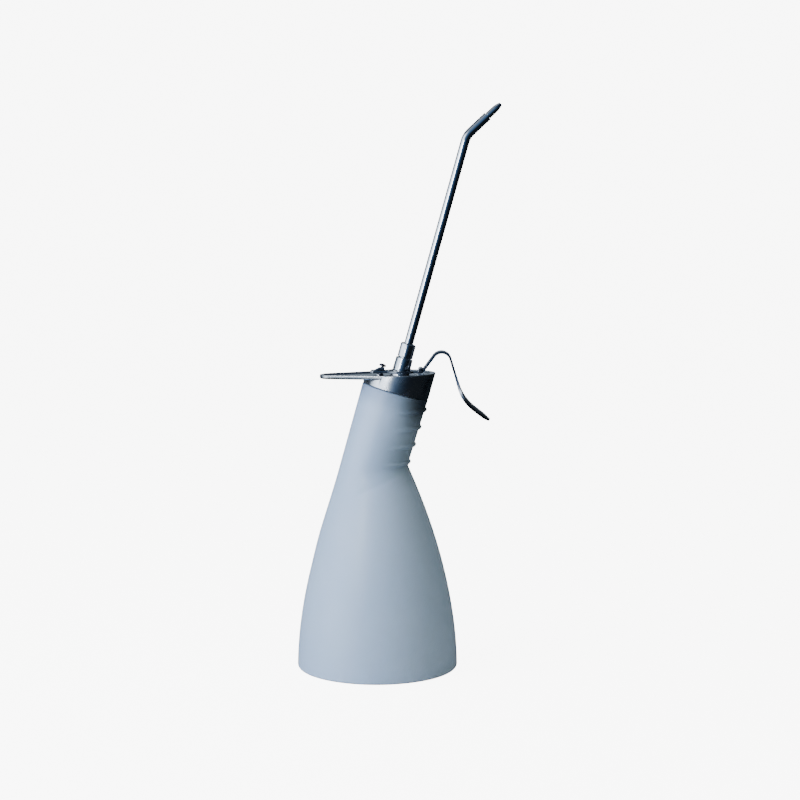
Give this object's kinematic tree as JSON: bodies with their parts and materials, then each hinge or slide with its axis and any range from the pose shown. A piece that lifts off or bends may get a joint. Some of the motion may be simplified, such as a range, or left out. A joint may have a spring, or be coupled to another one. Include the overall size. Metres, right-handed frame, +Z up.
{
  "type": "pump oiler",
  "caption": "Thumb-pump oil bottle with a leaning ribbed neck, die-cast head with thumb rest, trigger lever and swivelling bent spout.",
  "frame": {"origin": "centre of the whole oiler's box, on the plane that it stands on", "axes": "+Z up, +X from the thumb rest towards the spout's tip and the trigger, +Y across"},
  "size_m": [0.1224, 0.097, 0.3394],
  "materials": {
    "milky_polyethylene": "translucent milky blow-moulded plastic, satin",
    "polished_zinc": "polished and plated zinc die casting",
    "nickel_plate": "turned brass, nickel plated",
    "bright_steel": "bright steel",
    "plated_tube": "drawn steel tube, plated",
    "brass": "turned brass, bare",
    "pump_zinc": "cast, bead-blasted",
    "black_rubber": "oil-proof rubber",
    "natural_tube": "natural extruded plastic"
  },
  "bodies": {
    "bottle": {"bottle": "milky_polyethylene"},
    "neck_seal": {"neck_gasket": "black_rubber"},
    "head": {"pump_head": "polished_zinc", "spout_socket": "nickel_plate", "union_nut": "nickel_plate", "lever_pin": "bright_steel", "gland_nut": "brass", "gland_seal": "black_rubber", "return_spring": "bright_steel", "pump_body": "pump_zinc", "column_washer": "black_rubber", "barrel_end": "brass", "outlet_spring": "bright_steel", "inlet_seat": "brass", "dip_tube": "natural_tube", "intake_strainer": "brass"},
    "trigger": {"trigger_lever": "bright_steel"},
    "plunger": {"plunger_rod": "bright_steel", "rod_cap": "bright_steel", "piston": "brass", "piston_seal": "black_rubber"},
    "spout": {"spout_tube": "plated_tube", "spout_ferrule": "brass", "nozzle_tip": "plated_tube"},
    "outlet_valve": {"outlet_ball": "bright_steel"},
    "inlet_valve": {"inlet_ball": "bright_steel"}
  },
  "joints": [
    {"name": "head_unscrew", "type": "hinge", "parent": "bottle", "child": "neck_seal", "pos_m": [-0.00172, 0, 0.1681], "axis": [0.2672, 0, 0.9636], "range_deg": [0, 360]},
    {"name": "head_lift", "type": "slide", "parent": "neck_seal", "child": "head", "axis": [0.2672, 0, 0.9636], "range_m": [0, 0.18]},
    {"name": "trigger_squeeze", "type": "hinge", "parent": "head", "child": "trigger", "pos_m": [0.01334, 0, 0.18067], "axis": [0, 1, 0], "range_deg": [0, 24], "stiffness_Nm_per_rad": 0.25, "springref_deg": -6.88},
    {"name": "pump_stroke", "type": "slide", "parent": "head", "child": "plunger", "axis": [0.2672, 0, 0.9636], "range_m": [0, 0.0096], "deforming": ["return_spring"]},
    {"name": "spout_swivel", "type": "hinge", "parent": "head", "child": "spout", "pos_m": [0.00515, 0, 0.19287], "axis": [0.2672, 0, 0.9636], "continuous": true},
    {"name": "outlet_ball_lift", "type": "slide", "parent": "head", "child": "outlet_valve", "axis": [0.2672, 0, 0.9636], "range_m": [0, 0.0012], "stiffness_N_per_m": 20, "springref_m": -0.0005, "deforming": ["outlet_spring"]},
    {"name": "inlet_ball_lift", "type": "slide", "parent": "head", "child": "inlet_valve", "axis": [0.2672, 0, 0.9636], "range_m": [0, 0.0014]}
  ],
  "couplings": [
    {"joint": "pump_stroke", "follows": "trigger_squeeze", "m_per_rad": 0.0223}
  ]
}
